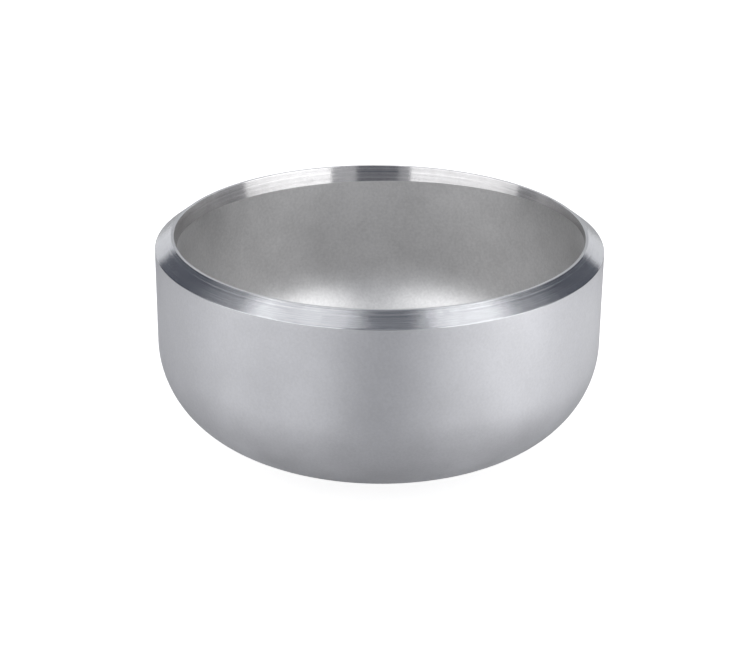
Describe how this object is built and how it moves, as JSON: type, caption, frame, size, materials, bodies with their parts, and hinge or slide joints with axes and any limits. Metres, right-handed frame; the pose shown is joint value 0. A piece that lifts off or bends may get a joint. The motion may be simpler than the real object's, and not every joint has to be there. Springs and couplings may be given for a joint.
{
  "type": "butt-weld pipe cap",
  "caption": "Stainless steel butt-weld cap: a shallow pressed bowl with a straight skirt, a bevelled weld end and a machined taper inside the rim. Welded on, it closes the end of a pipe.",
  "frame": {"origin": "lowest point of the dome, on the axis of the outside surfaces; the cap lies on its dome with the open end up", "axes": "+Z along the pipe's axis, out of the open end, normal to the weld face; -Y is the side where the pressed cavity lies closest to the outside; +X completes the frame"},
  "size_m": [0.1684, 0.1684, 0.089],
  "materials": {
    "steel": "satin blasted skin, bright turned bevel, weld face and taper"
  },
  "bodies": {
    "root": {"cap": "steel"}
  },
  "joints": []
}
